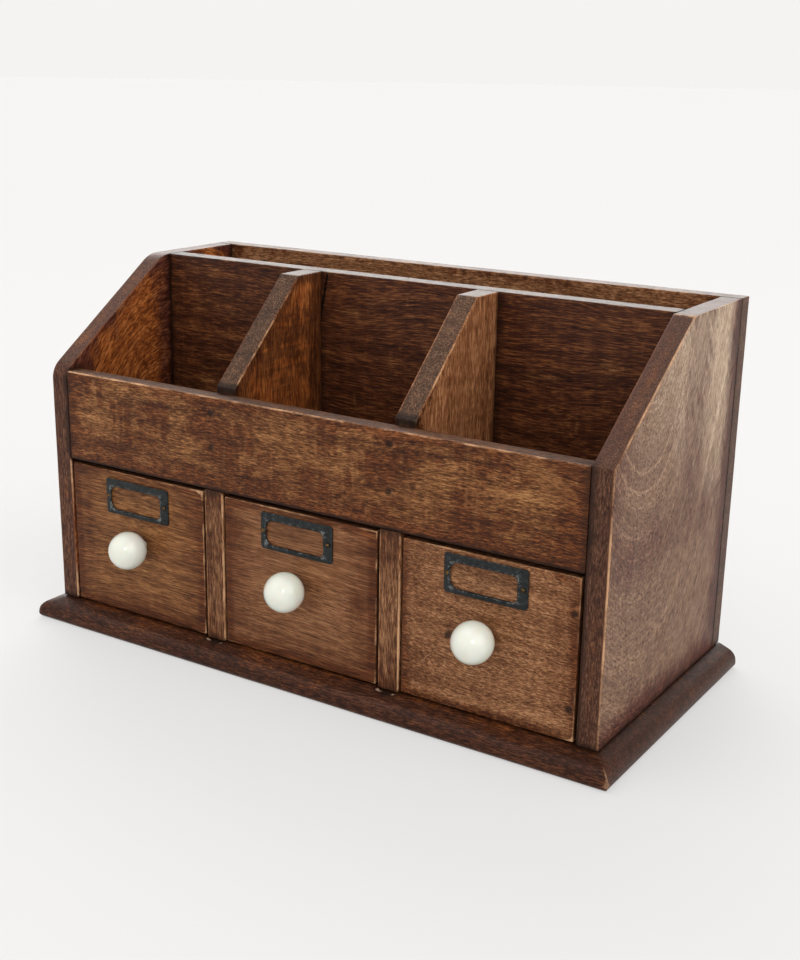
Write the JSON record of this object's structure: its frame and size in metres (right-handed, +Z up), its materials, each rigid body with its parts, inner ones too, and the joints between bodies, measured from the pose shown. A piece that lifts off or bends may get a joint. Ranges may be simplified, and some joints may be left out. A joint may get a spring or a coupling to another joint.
{
  "type": "desk organizer",
  "caption": "Wooden desk organizer with small knobbed drawers below, open sloping compartments above them and a letter slot along the back.",
  "frame": {"origin": "middle of the base board's underside", "axes": "+Z up, +X to the right of a person facing the drawers, -Y the way the drawers open"},
  "size_m": [0.382, 0.1867, 0.214],
  "materials": {
    "cabinet_wood": "dark brown stain, satin, worn at the edges",
    "base_wood": "darker brown stain, satin, worn at the edges",
    "drawer_front_wood": "mid brown stain, satin, worn at the edges",
    "drawer_box_wood": "plain, lightly stained, matt",
    "white_ceramic": "cream white glaze",
    "blackened_metal": "blackened, worn on the ridges",
    "brass": "tarnished",
    "steel": "plain"
  },
  "bodies": {
    "carcass": {"base_board": "base_wood", "side_panel_left": "cabinet_wood", "side_panel_right": "cabinet_wood", "back_panel": "cabinet_wood", "front_board": "cabinet_wood", "compartment_floor": "cabinet_wood", "letter_divider": "cabinet_wood", "drawer_partition_left": "cabinet_wood", "drawer_partition_right": "cabinet_wood", "compartment_divider_left": "cabinet_wood", "front_board_nail_left_lower": "steel", "front_board_nail_left_upper": "steel", "compartment_divider_right": "cabinet_wood", "front_board_nail_right_lower": "steel", "front_board_nail_right_upper": "steel", "base_screw_left": "steel", "base_screw_right": "steel"},
    "drawer_left": {"drawer_left_front": "drawer_front_wood", "drawer_left_side_left": "drawer_box_wood", "drawer_left_side_right": "drawer_box_wood", "drawer_left_back": "drawer_box_wood", "drawer_left_bottom": "drawer_box_wood", "drawer_left_knob": "white_ceramic", "drawer_left_knob_screw": "steel", "drawer_left_label_frame": "blackened_metal", "drawer_left_label_pin_left": "brass", "drawer_left_label_pin_right": "brass", "drawer_left_nail_left_lower": "steel", "drawer_left_nail_left_upper": "steel", "drawer_left_nail_right_lower": "steel", "drawer_left_nail_right_upper": "steel"},
    "drawer_middle": {"drawer_middle_front": "drawer_front_wood", "drawer_middle_side_left": "drawer_box_wood", "drawer_middle_side_right": "drawer_box_wood", "drawer_middle_back": "drawer_box_wood", "drawer_middle_bottom": "drawer_box_wood", "drawer_middle_knob": "white_ceramic", "drawer_middle_knob_screw": "steel", "drawer_middle_label_frame": "blackened_metal", "drawer_middle_label_pin_left": "brass", "drawer_middle_label_pin_right": "brass", "drawer_middle_nail_left_lower": "steel", "drawer_middle_nail_left_upper": "steel", "drawer_middle_nail_right_lower": "steel", "drawer_middle_nail_right_upper": "steel"},
    "drawer_right": {"drawer_right_front": "drawer_front_wood", "drawer_right_side_left": "drawer_box_wood", "drawer_right_side_right": "drawer_box_wood", "drawer_right_back": "drawer_box_wood", "drawer_right_bottom": "drawer_box_wood", "drawer_right_knob": "white_ceramic", "drawer_right_knob_screw": "steel", "drawer_right_label_frame": "blackened_metal", "drawer_right_label_pin_left": "brass", "drawer_right_label_pin_right": "brass", "drawer_right_nail_left_lower": "steel", "drawer_right_nail_left_upper": "steel", "drawer_right_nail_right_lower": "steel", "drawer_right_nail_right_upper": "steel"}
  },
  "joints": [
    {"name": "drawer_left_slide", "type": "slide", "parent": "carcass", "child": "drawer_left", "axis": [0, -1, 0], "range_m": [0, 0.12]},
    {"name": "drawer_middle_slide", "type": "slide", "parent": "carcass", "child": "drawer_middle", "axis": [0, -1, 0], "range_m": [0, 0.12]},
    {"name": "drawer_right_slide", "type": "slide", "parent": "carcass", "child": "drawer_right", "axis": [0, -1, 0], "range_m": [0, 0.12]}
  ]
}
